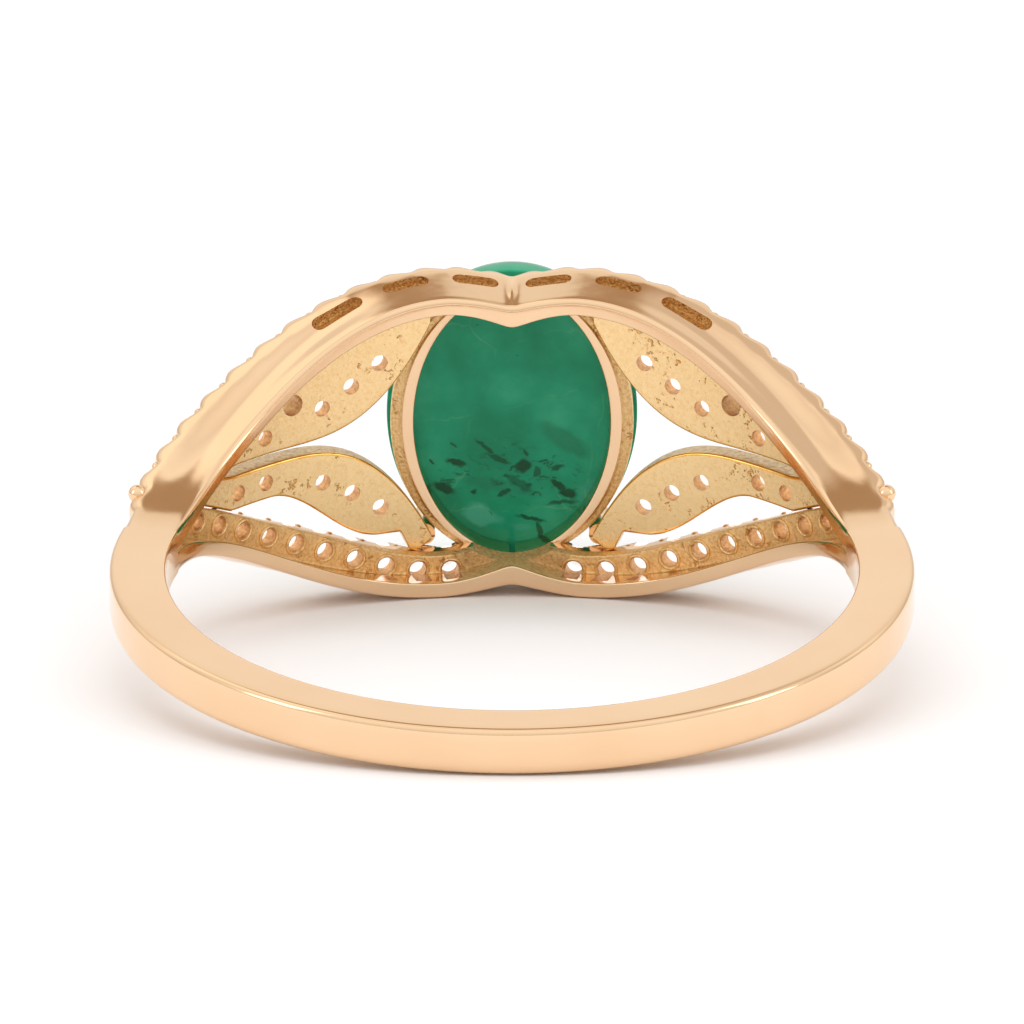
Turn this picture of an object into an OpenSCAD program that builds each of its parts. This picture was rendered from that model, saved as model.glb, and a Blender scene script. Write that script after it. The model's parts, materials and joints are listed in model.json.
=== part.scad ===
// Split-shank cocktail ring. Units are millimetres.
// +Z runs along the finger, the origin is the centre of the finger bore, and the head faces +Y.
// A place on the ring is a turn about +Z, in degrees from the middle of the head toward +X,
// with a radius from the bore's axis and a height z above the ring's middle plane.

/* [Finger bore and band] */
// Inside diameter of the ring
bore_d = 16.5; // [15:0.1:20]
// Width of the band along the finger
band_w = 1.12; // [0.9:0.02:1.4]
// Thickness of the band at the back of the finger
band_t = 1.15; // [1:0.05:1.6]
// Thickness of the band where it splits
shoulder_t = 1.38; // [1.2:0.02:1.8]
// Turn at which the band splits into two rails
split_turn = 77; // [70:1:84]
// Turn at which each shoulder is joined to the band
join_turn = 112; // [100:1:130]

/* [Rails] */
// Half the spread of the two rails at their widest
rail_spread = 4.01; // [3.6:0.01:5]
// How far the rails dip at the middle of the head
cusp_dip = 0.29; // [0.1:0.01:0.5]
// Turn at which the rails are widest apart
peak_turn = 11; // [8:1:16]
// Radial depth of a rail
rail_depth = 1.63; // [1.4:0.01:2.1]
// Thickness of a rail's side wall
wall_t = 0.41; // [0.3:0.01:0.5]
// Extra thickness of the side wall at the cusp
cusp_wall = 0.16; // [0:0.01:0.25]
// Thickness of the plate that holds the stones
plate_t = 0.58; // [0.5:0.01:0.75]
// Outward lean of the side wall, millimetres per millimetre of depth
wall_lean = 0.15; // [0:0.01:0.2]
// Height of the scallops between the stones
scallop_h = 0.09; // [0:0.01:0.15]

/* [Rail slots] */
// Width of the sunk slots in a rail's side wall
slot_w = 0.4; // [0.2:0.02:0.5]
// Depth of the sunk slots
slot_depth = 0.22; // [0.1:0.01:0.25]

/* [Small stones] */
// Diameter of each small stone
gem_d = 0.8; // [0.6:0.02:0.85]
// Diameter of the hole behind each small stone
light_hole_d = 0.42; // [0.3:0.02:0.5]
// Number of stones in each rail
rail_gems = 12; // [8:1:12]
// Turn of the first stone in each rail
first_gem_turn = 9.6; // [9:0.1:12]
// Turn from one stone to the next
gem_pitch = 5.15; // [5.1:0.05:5.6]

/* [Leaves] */
// Thickness of a leaf
leaf_t = 0.62; // [0.5:0.01:0.8]
// Height of a leaf's outer face above the rails' outer face
leaf_proud = 0.36; // [0.2:0.01:0.45]
// Height at which the belly of a leaf reaches toward its rail
belly_z = 2.72; // [2.4:0.01:3]
// Width of a leaf's stem
stem_w = 1.06; // [0.8:0.01:1.2]
// Half the gap between the upper and lower stems
stem_gap = 0.14; // [0.05:0.01:0.25]
// Diameter of the large hole in each upper leaf
window_d = 0.56; // [0.4:0.02:0.7]

/* [Seat and centre stone] */
// Width of the centre stone
stone_w = 6.3; // [5.6:0.1:7.2]
// Length of the centre stone
stone_l = 7.7; // [7:0.1:8.2]
// Height of the centre stone's dome above its girdle
dome_h = 2.75; // [2:0.05:3.6]
// Height of the centre stone's girdle
girdle_h = 0.25; // [0.1:0.05:0.5]
// Height of the seat's finger side above the bore
seat_rise = 1.55; // [1.4:0.05:2]
// Height of the seat wall
seat_h = 0.7; // [0.6:0.05:1]
// How far the seat's opening lies inside the stone's edge, at the sides
seat_ledge_side = 0.69; // [0.5:0.01:0.9]
// How far the seat's opening lies inside the stone's edge, at the ends
seat_ledge_end = 0.32; // [0.15:0.01:0.5]
// Thickness of the seat wall at the sides
seat_wall_side = 0.59; // [0.4:0.01:0.7]
// Thickness of the seat wall at the ends
seat_wall_end = 0.2; // [0.15:0.01:0.4]
// Width of the slit between the two halves of the seat
slit_w = 0.15; // [0.1:0.01:0.2]

/* [Claws] */
// Diameter of a claw
claw_d = 0.58; // [0.45:0.01:0.7]
// Place of a claw round the oval, in degrees from its side
claw_angle = 50; // [46:1:56]

/* [Hidden] */
$fn = 48;
GOLD = "#E6C08C";
GREEN = "#1F8A63";
CLEAR = "#EEF3F6";

// Clearance left in a soldered joint between two curved faces
joint_gap = 0.01;
bore_r = bore_d / 2;
rail_r = bore_r + rail_depth;
leaf_out_r = rail_r + leaf_proud;
leaf_in_r = leaf_out_r - leaf_t;
seat_y = bore_r + seat_rise;
stone_back_y = seat_y + seat_h;
girdle_y = stone_back_y + girdle_h;
corner_r = 0.16;
cut_in = 0.25;
// Depth of side wall that crosses the seat's opening at the cusp
wall_reach = 0.75;
turn_step = gem_pitch / 4;

// A claw's foot above the seat's back, and its lift over the stone at the bend and at the tip
claw_foot = 0.3;
claw_bend_lift = 4;
claw_tip_lift = 24;
// Size of the balls that round a claw's bend and tip, as shares of its diameter
bend_ball = 1.05;
tip_ball = 1.08;

// Turns at which the rails begin to thicken into the band, and at which their lean ends
swell_turn = 60;
upright_turn = 52;
// Turns over which the scallops fade out
scallop_fade = [68, 73];
// Distance of the rail stones' centre line from the rail's edge, near the head and past its middle
row_inset = [0.3, 0.68];
row_inset_turns = [8, 36];
// Width of plate left beside the stones
plate_lip = 0.02;

// A round stone, from the surface it is set in: its point, its girdle and its table
gem_point = 0.42;
girdle_low = 0.08;
girdle_high = 0.04;
table_rise = 0.07;
table_half = 0.28;
// Depth to which a light hole runs
hole_run = 1.2;

// The band's outside is round about a centre moved toward the head, which makes it thicker there
back_r = bore_r + band_t;
split_r = bore_r + shoulder_t;
band_shift = (pow(split_r, 2) - pow(back_r, 2)) / (2 * (back_r + split_r * cos(split_turn)));
band_round_r = back_r + band_shift;

// Oval semi-axes, as [across X, along Z]
stone_oval = [stone_w / 2, stone_l / 2];
opening_oval = stone_oval - [seat_ledge_side, seat_ledge_end];
seat_oval = opening_oval + [seat_wall_side, seat_wall_end];

// Each slot's first and last turn
SLOT_TURNS = [[2.2, 9.4], [12.7, 20], [23, 31.8]];

// Turn and height of each leaf's stones, the last two on the stem
LEAF_GEMS = [[20, 1.95], [24.5, 1.44], [29.3, 1], [39.3, 0.6], [44.6, 0.62]];
window_turn = 34.3;
window_z = 1.27;
foot_turn = 14.7;
foot_half_turn = 0.7;
belly_turn = 20;
neck_turn = 38.5;
merge_turn = 50;
leaf_start_turn = 12;
seat_end_z = 3;

// ---- Functions ----

function place(turn, r, z) = [r * sin(turn), r * cos(turn), z];
function mix(a, b, t) = a + (b - a) * t;
function clamp01(t) = min(1, max(0, t));

// Eases from 0 at turn a to 1 at turn b
function ease(turn, a, b) = (1 - cos(180 * clamp01((turn - a) / (b - a)))) / 2;

// Height of a rail's outer edge on the bore: a dip at the head, a peak, and a fall to the shoulder
function rail_z(turn) =
    turn < peak_turn
        ? rail_spread - cusp_dip * pow(1 - turn / peak_turn, 1.6)
        : mix(rail_spread, band_w / 2, ease(turn, peak_turn, split_turn));
function cusp(turn) = pow(max(0, 1 - turn / peak_turn), 2.2);
function rail_wall(turn) =
    mix(wall_t + cusp_wall * cusp(turn), band_w / 2 - joint_gap, ease(turn, swell_turn, split_turn));
function lean(turn) = wall_lean * (1 - ease(turn, upright_turn, split_turn));
function lean_z(turn, r) = lean(turn) * (r - bore_r);
function rail_inner_z(turn) = max(joint_gap, rail_z(turn) - rail_wall(turn));
function scallop(turn) =
    scallop_h * pow(sin(180 * (turn - first_gem_turn) / gem_pitch), 2)
    * (1 - ease(turn, scallop_fade[0], scallop_fade[1]));
function rail_out_r(turn) = mix(rail_r, split_r, ease(turn, swell_turn, split_turn));

// Centre line of the stones, and the edge of the plate toward the middle plane
function gem_row_z(turn) =
    rail_z(turn)
    - mix(row_inset[0], row_inset[1], ease(turn, row_inset_turns[0], row_inset_turns[1]));
function plate_z(turn) = max(joint_gap, gem_row_z(turn) - gem_d / 2 + plate_lip);

// A rail's cross-section at one turn to either side, from its inner corner, which every other
// point can see
function rail_section(side_turn) =
    let (
        turn = abs(side_turn),
        ro = rail_out_r(turn) + scallop(turn),
        rp = rail_out_r(turn) - plate_t,
        ri = bore_r - cut_in,
        zo = rail_z(turn),
        zi = rail_inner_z(turn),
        zp = plate_z(turn)
    )
    [
        place(side_turn, rp, max(zp + plate_lip, zi + lean_z(turn, rp))),
        place(side_turn, ri, max(joint_gap, zi + lean_z(turn, ri))),
        place(side_turn, ri, zo + lean_z(turn, ri)),
        place(side_turn, ro - corner_r, zo + lean_z(turn, ro - corner_r)),
        place(side_turn, ro - corner_r * 0.3, zo + lean_z(turn, ro) - corner_r * 0.3),
        place(side_turn, ro, zo + lean_z(turn, ro) - corner_r),
        place(side_turn, rail_out_r(turn), zp),
        place(side_turn, rp, zp)
    ];

function turns(a, b, step) = [for (i = [0:ceil((b - a) / step)]) min(b, a + i * step)];

// The same turns to the left and the right of the head's middle
function both_sides(ts) = concat([for (i = [len(ts) - 1:-1:1]) -ts[i]], ts);

// A leaf's two edges, and its outline seen along Y
function leaf_mid_z(turn) =
    mix(stem_gap, joint_gap, ease(turn, 44, merge_turn))
    + (2.9 - stem_gap) * pow(max(0, (36 - turn) / (36 - leaf_start_turn)), 3);
function open_leaf_z(turn) = mix(belly_z, stem_w, ease(turn, belly_turn, neck_turn));
function foot_z(turn) =
    turn < foot_turn
        ? mix(plate_z(foot_turn), seat_end_z, clamp01((foot_turn - foot_half_turn - turn) / 2))
        : mix(plate_z(foot_turn), open_leaf_z(turn), clamp01((turn - foot_turn - foot_half_turn) / 1.4));
function leaf_rail_z(turn, webbed) =
    min(webbed ? plate_z(turn) : foot_z(turn), plate_z(turn)) - joint_gap;
function leaf_outline(webbed) =
    let (
        reach = turns(leaf_start_turn, split_turn, 0.7),
        ts = [for (t = reach) if (leaf_rail_z(t, webbed) > leaf_mid_z(t) + 0.03) t],
        last = len(ts) - 1
    )
    concat(
        [for (t = ts) [leaf_out_r * sin(t), leaf_mid_z(t)]],
        [for (i = [last:-1:0]) [leaf_out_r * sin(ts[i]), leaf_rail_z(ts[i], webbed)]]
    );

function oval(semi, grow = 0, sides = 60) =
    [for (i = [0:sides - 1])
        [(semi[0] + grow) * cos(360 * i / sides), (semi[1] + grow) * sin(360 * i / sides)]];

// ---- Helpers ----

// Skins a list of equal cross-sections and closes both ends
module skin(sections) {
    n = len(sections[0]);
    m = len(sections);
    polyhedron(
        points = [for (s = sections) each s],
        faces = concat(
            [[for (i = [0:n - 1]) i]],
            [[for (i = [n:-1:1]) (m - 1) * n + i % n]],
            [for (k = [0:m - 2]) for (i = [0:n - 1])
                [k * n + (i + 1) % n, k * n + i, (k + 1) * n + i]],
            [for (k = [0:m - 2]) for (i = [0:n - 1])
                [k * n + (i + 1) % n, (k + 1) * n + i, (k + 1) * n + (i + 1) % n]]
        )
    );
}

// Turns a shape so that its own Z points away from the bore
module outward(turn, z) {
    rotate([0, 0, -turn]) translate([0, 0, z]) rotate([-90, 0, 0]) children();
}

// Raises an outline, drawn in X and Z, along +Y
module raise(y0, y1) {
    translate([0, y1, 0]) rotate([90, 0, 0]) linear_extrude(y1 - y0) children();
}

module finger() {
    cylinder(h = 4 * rail_spread, r = bore_r, center = true, $fn = 180);
}

// One round stone whose girdle lies just under radius r
module gem(r) {
    translate([0, 0, r])
        rotate_extrude()
            polygon([
                [0, -gem_point], [gem_d / 2, -girdle_low], [gem_d / 2, -girdle_high],
                [gem_d * table_half, table_rise], [0, table_rise]
            ]);
}

// The seat that a stone drops into, open behind for light
module gem_seat(r) {
    translate([0, 0, r])
        rotate_extrude()
            polygon([
                [0, -gem_point], [gem_d / 2, -girdle_low],
                [gem_d / 2, gem_d / 2], [0, gem_d / 2]
            ]);
    translate([0, 0, r - hole_run]) cylinder(h = hole_run, d = light_hole_d);
}

// A sunk slot in a rail's side wall
module slot(span) {
    mid = (span[0] + span[1]) / 2;
    slot_r = bore_r + 1;
    length = (span[1] - span[0]) * PI / 180 * slot_r;
    rise = (rail_z(span[1]) - rail_z(span[0])) / length;
    straight = length - slot_w;
    translate(place(mid, slot_r, rail_z(mid) + lean_z(mid, slot_r) - slot_depth))
        rotate([0, 0, -mid]) rotate([0, -atan(rise), 0])
            linear_extrude(1) {
                square([straight, slot_w], center = true);
                for (side = [-1, 1]) translate([side * straight / 2, 0]) circle(d = slot_w);
            }
}

// The space that the seat, its opening and the centre stone take out of the pieces round them
module head_space() {
    raise(seat_y, seat_y + 4) polygon(oval(seat_oval, joint_gap));
    raise(bore_r + wall_reach, seat_y + 1) polygon(oval(opening_oval));
}

module at_left() { mirror([1, 0, 0]) children(); }
module at_bottom() { mirror([0, 0, 1]) children(); }

// ---- Sub-parts, drawn at the upper right or across the top, and mirrored ----

// The plain band between two turns
module band(a, b) {
    w = band_w / 2;
    color(GOLD) difference() {
        translate([0, band_shift, 0])
            rotate_extrude($fn = 180)
                polygon([
                    [bore_r / 2, -w],
                    [band_round_r - corner_r, -w],
                    [band_round_r - corner_r * 0.3, corner_r * 0.3 - w],
                    [band_round_r, corner_r - w],
                    [band_round_r, w - corner_r],
                    [band_round_r - corner_r * 0.3, w - corner_r * 0.3],
                    [band_round_r - corner_r, w],
                    [bore_r / 2, w]
                ]);
        finger();
        linear_extrude(2 * band_w, center = true)
            polygon(concat([[0, 0]], [for (t = turns(b, a + 360, 40)) 2 * bore_r * [sin(t), cos(t)]]));
    }
}

module shank() { band(join_turn, 360 - join_turn); }

module shoulder() { band(split_turn, join_turn); }

// One rail across the whole head
module rail() {
    color(GOLD) difference() {
        skin([for (t = both_sides(turns(0, split_turn, turn_step))) rail_section(t)]);
        finger();
        head_space();
        for (side = [-1, 1]) for (i = [0:rail_gems - 1]) {
            turn = first_gem_turn + i * gem_pitch;
            outward(side * turn, gem_row_z(turn)) gem_seat(rail_out_r(turn));
        }
        for (span = SLOT_TURNS) {
            slot(span);
            at_left() slot(span);
        }
    }
}

module rail_stones() {
    color(CLEAR)
        for (i = [0:rail_gems - 1]) {
            turn = first_gem_turn + i * gem_pitch;
            outward(turn, gem_row_z(turn)) gem(rail_out_r(turn));
        }
}

module leaf(webbed) {
    color(GOLD) difference() {
        intersection() {
            difference() {
                cylinder(h = 4 * rail_spread, r = leaf_out_r, center = true, $fn = 180);
                cylinder(h = 5 * rail_spread, r = leaf_in_r, center = true, $fn = 180);
            }
            raise(0, leaf_out_r + 1) polygon(leaf_outline(webbed));
        }
        head_space();
        for (g = LEAF_GEMS) outward(g[0], g[1]) gem_seat(leaf_out_r);
        if (webbed)
            outward(window_turn, window_z) cylinder(h = leaf_out_r + 1, d = window_d);
    }
}

module leaf_stones() {
    color(CLEAR)
        for (g = LEAF_GEMS) outward(g[0], g[1]) gem(leaf_out_r);
}

module seat_half() {
    color(GOLD) difference() {
        raise(seat_y, stone_back_y) polygon(oval(seat_oval));
        raise(seat_y - 1, stone_back_y + 1) polygon(oval(opening_oval));
        translate([slit_w / 2 - 10, 0, -10]) cube([10, 20, 20]);
    }
}

// A cabochon: flat back, short girdle and a domed top
module centre_stone() {
    rows = 8;
    sides = 40;
    bevel = 0.12;
    color(GREEN) skin(concat(
        [
            [for (p = oval(stone_oval, -bevel, sides)) [p[0], stone_back_y, p[1]]],
            [for (p = oval(stone_oval, 0, sides)) [p[0], stone_back_y + bevel, p[1]]]
        ],
        [for (k = [0:rows - 1])
            let (a = 90 * k / rows)
            [for (p = oval(stone_oval * cos(a), 0, sides))
                [p[0], girdle_y + dome_h * sin(a), p[1]]]],
        [[for (p = oval(stone_oval * 0.08, 0, sides)) [p[0], girdle_y + dome_h, p[1]]]]
    ));
}

// A point on the dome at a claw's place, moved straight out from the stone's surface
function beside_dome(lift, out) =
    let (
        edge = [stone_oval[0] * cos(claw_angle), stone_oval[1] * sin(claw_angle)],
        normal = [
            cos(lift) * cos(claw_angle) / stone_oval[0],
            sin(lift) / dome_h,
            cos(lift) * sin(claw_angle) / stone_oval[1]
        ]
    )
    [edge[0] * cos(lift), girdle_y + dome_h * sin(lift), edge[1] * cos(lift)]
        + normal / norm(normal) * out;

// A straight round bar between two points
module bar(a, b, d) {
    v = b - a;
    translate(a)
        rotate([0, 0, atan2(v[1], v[0])]) rotate([0, acos(v[2] / norm(v)), 0])
            cylinder(h = norm(v), d = d);
}

// A round claw that stands beside the seat and leans over the stone's edge
module claw() {
    reach = claw_d * tip_ball / 2 + joint_gap;
    bend = beside_dome(claw_bend_lift, reach);
    tip = beside_dome(claw_tip_lift, reach);
    foot = [bend[0], seat_y + claw_foot, bend[2]];
    color(GOLD) difference() {
        union() {
            bar(foot, bend, claw_d);
            bar(bend, tip, claw_d);
            translate(bend) sphere(d = claw_d * bend_ball);
            translate(tip) sphere(d = claw_d * tip_ball);
        }
        raise(seat_y, stone_back_y) polygon(oval(seat_oval));
    }
}

shank();
at_left() shoulder();  // left_shoulder
shoulder();  // right_shoulder
rail();  // upper_rail
at_bottom() rail();  // lower_rail
at_left() leaf(true);  // upper_left_leaf
leaf(true);  // upper_right_leaf
at_left() at_bottom() leaf(false);  // lower_left_leaf
at_bottom() leaf(false);  // lower_right_leaf
at_left() seat_half();  // seat_left_half
seat_half();  // seat_right_half
at_left() claw();  // upper_left_claw
claw();  // upper_right_claw
at_left() at_bottom() claw();  // lower_left_claw
at_bottom() claw();  // lower_right_claw
centre_stone();
at_left() rail_stones();  // upper_left_rail_stones
rail_stones();  // upper_right_rail_stones
at_left() at_bottom() rail_stones();  // lower_left_rail_stones
at_bottom() rail_stones();  // lower_right_rail_stones
at_left() leaf_stones();  // upper_left_leaf_stones
leaf_stones();  // upper_right_leaf_stones
at_left() at_bottom() leaf_stones();  // lower_left_leaf_stones
at_bottom() leaf_stones();  // lower_right_leaf_stones
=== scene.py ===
import json
import math

import bmesh
import bpy
import numpy as np
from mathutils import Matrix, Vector


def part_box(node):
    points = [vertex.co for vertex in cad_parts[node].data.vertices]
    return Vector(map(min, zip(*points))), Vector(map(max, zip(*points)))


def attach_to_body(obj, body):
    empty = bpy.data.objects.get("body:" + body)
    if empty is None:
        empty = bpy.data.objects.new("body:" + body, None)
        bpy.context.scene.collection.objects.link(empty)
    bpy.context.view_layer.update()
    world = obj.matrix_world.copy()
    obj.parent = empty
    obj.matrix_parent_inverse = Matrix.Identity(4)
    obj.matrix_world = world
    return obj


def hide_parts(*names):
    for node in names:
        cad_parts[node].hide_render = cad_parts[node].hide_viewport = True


# A cocktail ring lying on its side. +Z runs along the finger, +Y points to the middle of the head.
# Lengths below are millimetres unless a name says otherwise; meshes are made in metres.
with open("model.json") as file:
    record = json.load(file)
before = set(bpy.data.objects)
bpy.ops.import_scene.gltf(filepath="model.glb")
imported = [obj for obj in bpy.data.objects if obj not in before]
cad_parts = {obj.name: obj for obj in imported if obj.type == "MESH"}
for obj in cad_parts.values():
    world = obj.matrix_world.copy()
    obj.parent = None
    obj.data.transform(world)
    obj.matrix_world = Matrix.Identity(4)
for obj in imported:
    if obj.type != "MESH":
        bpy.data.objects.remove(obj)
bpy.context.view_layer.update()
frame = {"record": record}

MM = 0.001
QUARTERS = [("upper", "left"), ("upper", "right"), ("lower", "left"), ("lower", "right")]


def node_box(name):
    low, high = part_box(name)
    return np.array(low) / MM, np.array(high) / MM


# ---- Sizes read from the frame ----

BORE_R = frame["record"]["mounts"][0]["dims"]["r_mm"]
BAND_LOW, BAND_HIGH = node_box("shank")
BAND_HALF = BAND_HIGH[2]
BACK_R = -BAND_LOW[1]
SEAT_LOW, SEAT_HIGH = node_box("seat_right_half")
STONE_HIGH = node_box("centre_stone")[1]

# ---- Sizes of the design, as in the CAD model ----

JOINT_GAP = 0.01
SPLIT_R = BORE_R + 1.38
SPLIT_TURN = 77
RAIL_SPREAD = 4.01
CUSP_DIP = 0.29
PEAK_TURN = 11
CUSP_ROUND = 0.5
CUSP_EDGE_ROUND = 1.3
RAIL_R = BORE_R + 1.63
WALL_T = 0.41
CUSP_WALL = 0.16
WALL_LEAN = 0.19
WALL_REACH = 0.75
PLATE_T = 0.58
PLATE_LIP = 0.02
# Turns at which the rails begin to thicken into the band, and at which their lean begins to end
SWELL_TURN = 60
UPRIGHT_TURN = 52
SCALLOP = 0.2
SCALLOP_FADE = (68, 73)
SLOT_W = 0.4
SLOT_DEPTH = 0.22
SLOT_TURNS = [(2.2, 9.4), (12.7, 20), (23, 31.8)]
GEM_D = 0.8
LIGHT_HOLE_D = 0.42
GEM_PITCH = 5.15
GEM_TURNS = [9.6 + GEM_PITCH * i for i in range(12)]
# Distance of the stones' centre line from the rail's edge, near the head and past its middle
ROW_INSET = (0.3, 0.68)
ROW_INSET_TURNS = (8, 36)
END_BALL_TURN = 67.4
LEAF_OUT_R = RAIL_R + 0.36
LEAF_IN_R = LEAF_OUT_R - 0.62
LEAF_START_TURN = 12
LEAF_START_Z = 2.9
# Turn past which a leaf's middle edge runs straight, and turns over which the stems close up
LEAF_MID_TURN = 36
MERGE_TURNS = (44, 50)
BELLY_Z = 2.72
BELLY_TURNS = (20, 38.5)
STEM_W = 1.06
STEM_GAP = 0.14
LEAF_GEMS = [(20, 1.95), (24.5, 1.44), (29.3, 1.0), (39.3, 0.6), (44.6, 0.62)]
WINDOW = (34.3, 1.27, 0.56)
FOOT_TURN = 14.7
FOOT_HALF_TURN = 0.7
SEAT_END_Z = 3.0
SEAT_LEDGE = [0.69, 0.32]
SEAT_WALL = [0.59, 0.2]
SEAT_SLIT = 0.15
STONE_OVAL = np.array([STONE_HIGH[0], STONE_HIGH[2]])
SEAT_OPENING = STONE_OVAL - SEAT_LEDGE
SEAT_OUTER = SEAT_OPENING + SEAT_WALL
SEAT_Y = SEAT_LOW[1]
STONE_BACK_Y = SEAT_HIGH[1]
GIRDLE_Y = STONE_BACK_Y + 0.25
DOME_TOP_Y = STONE_HIGH[1]
# The stone reaches a little further at its lower end, where it shows through the seat's slit
LOW_END_STRETCH = 1.028
CLAW_D = 0.58
CLAW_ANGLE = math.radians(50)


# ---- Functions of the turn, as in the CAD model ----

def place(turn, r, z):
    a = math.radians(turn)
    return (r * math.sin(a), r * math.cos(a), z)


def mix(a, b, t):
    return a + (b - a) * t


def clamp01(t):
    return min(1.0, max(0.0, t))


def ease(turn, a, b):
    return (1 - math.cos(math.pi * clamp01((turn - a) / (b - a)))) / 2


def rail_z(turn):
    if turn < PEAK_TURN:
        return RAIL_SPREAD - CUSP_DIP * (1 - turn / PEAK_TURN) ** 1.6
    return mix(RAIL_SPREAD, BAND_HALF, ease(turn, PEAK_TURN, SPLIT_TURN))


def rail_wall(turn):
    cusp = max(0.0, 1 - turn / PEAK_TURN) ** 2.2
    return mix(WALL_T + CUSP_WALL * cusp, BAND_HALF - JOINT_GAP, ease(turn, SWELL_TURN, SPLIT_TURN))


def lean_z(turn, r):
    return WALL_LEAN * (1 - ease(turn, UPRIGHT_TURN, SPLIT_TURN)) * (r - BORE_R)


def rail_out_r(turn):
    return mix(RAIL_R, SPLIT_R, ease(turn, SWELL_TURN, SPLIT_TURN))


def scallop(turn):
    """Lobes along the rail's rim, each one steeper toward the shoulder."""
    phase = ((turn - GEM_TURNS[0]) / GEM_PITCH) % 1
    wave = math.sin(math.pi * phase ** 1.5) ** 1.3
    return SCALLOP * wave * (1 - ease(turn, *SCALLOP_FADE))


def gem_row_z(turn):
    return rail_z(turn) - mix(*ROW_INSET, ease(turn, *ROW_INSET_TURNS))


def plate_z(turn):
    """The edge of the rail's plate toward the middle plane."""
    return max(JOINT_GAP, gem_row_z(turn) - GEM_D / 2 + PLATE_LIP)


def leaf_mid_z(turn):
    rise = max(0.0, (LEAF_MID_TURN - turn) / (LEAF_MID_TURN - LEAF_START_TURN)) ** 3
    return mix(STEM_GAP, JOINT_GAP, ease(turn, *MERGE_TURNS)) + (LEAF_START_Z - STEM_GAP) * rise


def leaf_rail_z(turn, webbed):
    """A leaf's edge toward its rail. A webbed leaf, in the upper half, meets the rail all along."""
    if webbed:
        return plate_z(turn) - JOINT_GAP
    foot = plate_z(FOOT_TURN)
    if turn < FOOT_TURN:
        edge = mix(foot, SEAT_END_Z, clamp01((FOOT_TURN - FOOT_HALF_TURN - turn) / 2))
    else:
        belly = mix(BELLY_Z, STEM_W, ease(turn, *BELLY_TURNS))
        edge = mix(foot, belly, clamp01((turn - FOOT_TURN - FOOT_HALF_TURN) / 1.4))
    return min(edge, plate_z(turn)) - JOINT_GAP


# ---- Mesh helpers ----

def rounded(corners, steps=5):
    """A closed outline in two dimensions. corners are (x, y, radius, points after the corner)."""
    out = []
    count = len(corners)
    for i, (x, y, radius, after) in enumerate(corners):
        here = np.array([x, y])
        before = np.array(corners[i - 1][:2]) - here
        ahead = np.array(corners[(i + 1) % count][:2]) - here
        a = min(radius, np.linalg.norm(before) * 0.45)
        b = min(radius, np.linalg.norm(ahead) * 0.45)
        start = here + before / (np.linalg.norm(before) + 1e-9) * a
        end = here + ahead / (np.linalg.norm(ahead) + 1e-9) * b
        for k in range(steps + 1):
            t = k / steps
            out.append((1 - t) ** 2 * start + 2 * t * (1 - t) * here + t ** 2 * end)
        nx, ny, nr, _ = corners[(i + 1) % count]
        following = np.array([nx, ny])
        reach = following - here
        length = np.linalg.norm(reach)
        stop = following - reach / (length + 1e-9) * min(nr, length * 0.45)
        for k in range(after):
            out.append(mix(end, stop, (k + 1) / (after + 1)))
    return np.array(out)


def skin(rings, ring_materials=None, closed=False, caps=True):
    """Vertices, faces and material numbers of a surface through equal rings of points."""
    rings = np.array(rings, float)
    m, n = rings.shape[:2]
    faces, mats = [], []
    for k in range(m if closed else m - 1):
        a, b = k * n, ((k + 1) % m) * n
        for i in range(n):
            j = (i + 1) % n
            faces.append((a + i, b + i, b + j, a + j))
            mats.append(ring_materials[i] if ring_materials is not None else 0)
    if caps and not closed:
        faces.append(tuple(range(n)))
        faces.append(tuple((m - 1) * n + i for i in reversed(range(n))))
        mats += [0, 0]
    return rings.reshape(-1, 3), faces, mats


def join(parts):
    """Puts several (vertices, faces, material numbers) together."""
    verts, faces, mats = [], [], []
    base = 0
    for v, f, m in parts:
        verts.append(np.array(v, float))
        faces += [tuple(i + base for i in face) for face in f]
        mats += list(m)
        base += len(v)
    return np.concatenate(verts), faces, mats


def outward_faces(mesh):
    bm = bmesh.new()
    bm.from_mesh(mesh)
    bmesh.ops.recalc_face_normals(bm, faces=bm.faces)
    bm.to_mesh(mesh)
    bm.free()


def make(name, part, materials, scale=(1, 1, 1), smooth=True):
    verts, faces, mats = part
    mesh = bpy.data.meshes.new(name)
    mesh.from_pydata((np.array(verts) * scale * MM).tolist(), [], faces)
    for material in materials:
        mesh.materials.append(material)
    mesh.polygons.foreach_set("material_index", mats)
    mesh.polygons.foreach_set("use_smooth", [smooth] * len(faces))
    mesh.validate()
    outward_faces(mesh)
    obj = bpy.data.objects.new(name, mesh)
    bpy.context.scene.collection.objects.link(obj)
    return obj


def mesh_data(obj):
    """The object's mesh with its modifiers applied, as (vertices, faces, material numbers), in mm."""
    bpy.context.view_layer.update()
    evaluated = obj.evaluated_get(bpy.context.evaluated_depsgraph_get())
    mesh = evaluated.to_mesh()
    verts = np.empty(len(mesh.vertices) * 3)
    mesh.vertices.foreach_get("co", verts)
    faces = [tuple(p.vertices) for p in mesh.polygons]
    mats = [p.material_index for p in mesh.polygons]
    evaluated.to_mesh_clear()
    return verts.reshape(-1, 3) / MM, faces, mats


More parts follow.
